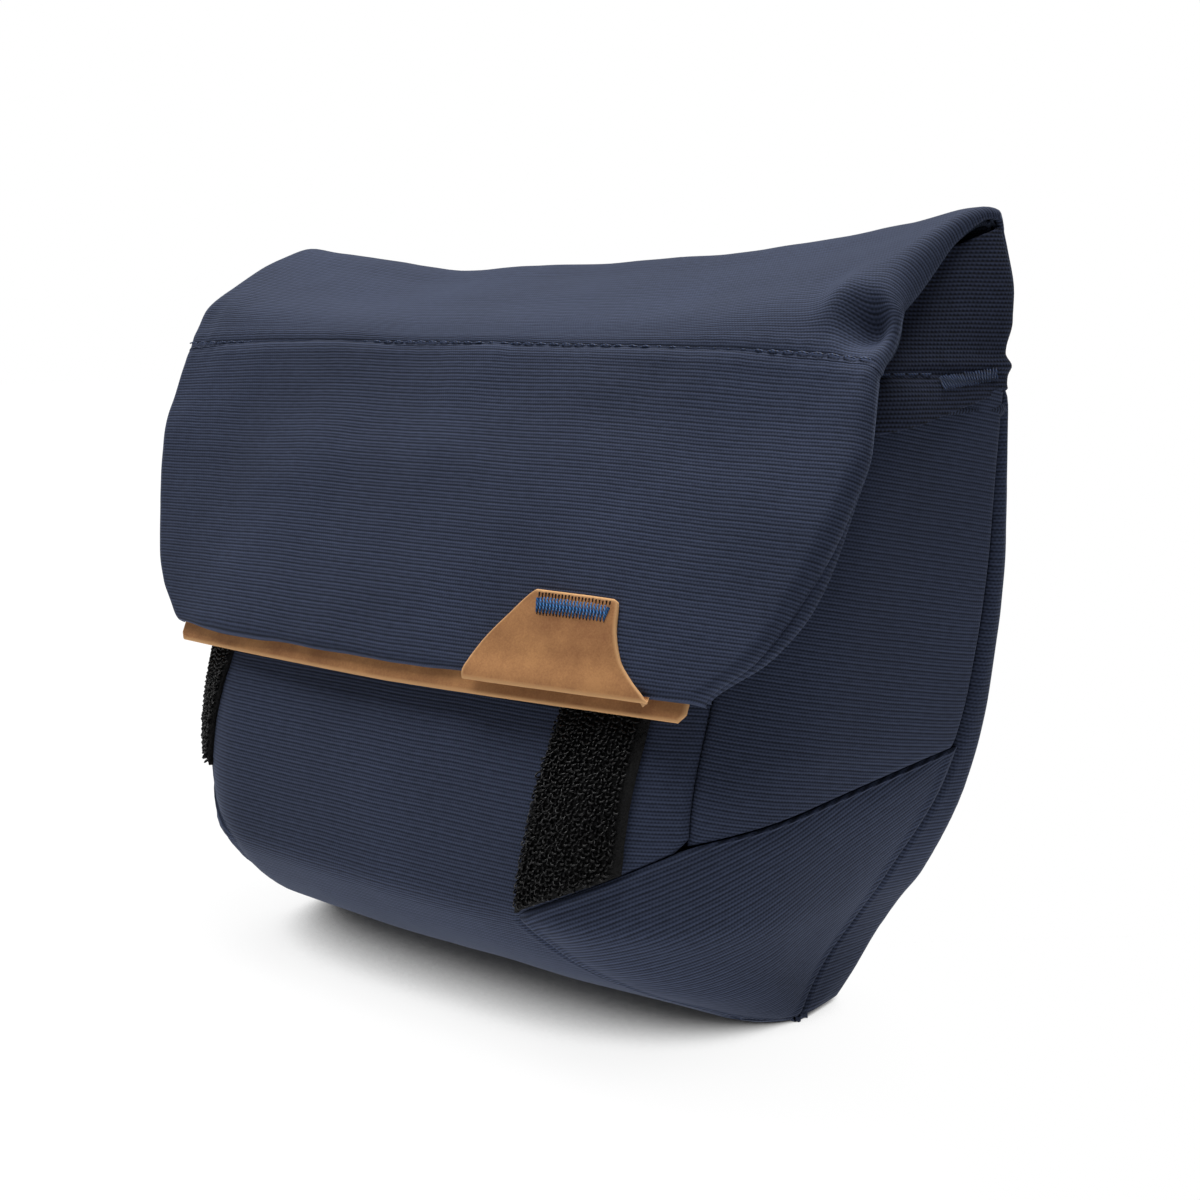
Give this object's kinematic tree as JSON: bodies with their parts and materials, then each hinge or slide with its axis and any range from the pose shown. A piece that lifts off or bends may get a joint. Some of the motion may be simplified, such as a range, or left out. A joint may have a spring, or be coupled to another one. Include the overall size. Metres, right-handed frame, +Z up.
{
  "type": "fold-over brush case",
  "caption": "Soft padded case that stands on a rounded keel, with a fold-over flap held shut by hook and loop tape under a suede edge.",
  "frame": {"origin": "on the ground under the middle of the case’s box", "axes": "+X to the case’s right as seen from the front, +Y to the back panel, +Z up"},
  "size_m": [0.2414, 0.1008, 0.1948],
  "materials": {
    "ribbed_canvas": "fine-ribbed cotton canvas, matt",
    "collar_canvas": "coarser canvas, matt",
    "foam": "thin open-cell padding",
    "lining_cloth": "plain-woven lining",
    "binding": "grosgrain binding",
    "suede": "brushed split leather",
    "hook_tape": "hook tape",
    "loop_tape": "brushed loop tape",
    "webbing": "woven webbing",
    "board": "thin stiffening board",
    "blue_thread": "blue sewing thread",
    "navy_thread": "navy sewing thread",
    "zip_tape": "woven zip tape",
    "zip_coil": "moulded coil",
    "zip_metal": "plated, brushed"
  },
  "bodies": {
    "pouch": {"back_foam": "foam", "back_panel": "ribbed_canvas", "back_stiffener": "board", "bartack_left": "navy_thread", "bartack_right": "navy_thread", "base_board": "board", "belt_loop_left": "webbing", "belt_loop_right": "webbing", "corner_panel_left": "ribbed_canvas", "corner_panel_right": "ribbed_canvas", "front_foam": "foam", "front_panel": "ribbed_canvas", "lining": "lining_cloth", "loop_strip_left": "loop_tape", "loop_strip_right": "loop_tape", "mouth_binding": "binding", "side_collar_left": "collar_canvas", "side_collar_right": "collar_canvas", "side_foam_left": "foam", "side_foam_right": "foam", "side_panel_left": "ribbed_canvas", "side_panel_right": "ribbed_canvas", "slip_pocket": "lining_cloth", "slip_pocket_elastic": "binding", "top_lining": "lining_cloth", "zip_coil": "zip_coil", "zip_pocket_panel": "lining_cloth", "zip_tape": "zip_tape"},
    "flap_top": {"flap_top_panel": "ribbed_canvas", "flap_top_lining": "lining_cloth", "flap_seam_stitching": "navy_thread"},
    "flap_front": {"flap_front_panel": "ribbed_canvas", "flap_foam": "foam", "flap_lining": "lining_cloth", "suede_edge_strip": "suede", "hook_strip": "hook_tape", "suede_pull_tab": "suede", "tab_stitching": "blue_thread"},
    "zip_slider": {"zip_slider": "zip_metal"},
    "zip_pull": {"zip_pull": "zip_metal"}
  },
  "joints": [
    {"name": "flap_open", "type": "hinge", "parent": "pouch", "child": "flap_top", "pos_m": [0, 0.0429, 0.195], "axis": [-1, 0, 0], "range_deg": [0, 235]},
    {"name": "flap_peel", "type": "hinge", "parent": "flap_top", "child": "flap_front", "pos_m": [0, -0.0101, 0.163], "axis": [-1, 0, 0], "range_deg": [0, 120]},
    {"name": "zip_travel", "type": "slide", "parent": "pouch", "child": "zip_slider", "axis": [1, 0, 0], "range_m": [0, 0.121]},
    {"name": "zip_pull_swing", "type": "hinge", "parent": "zip_slider", "child": "zip_pull", "pos_m": [-0.0615, 0.0303, 0.124], "axis": [-1, 0, 0], "range_deg": [0, 80]}
  ]
}
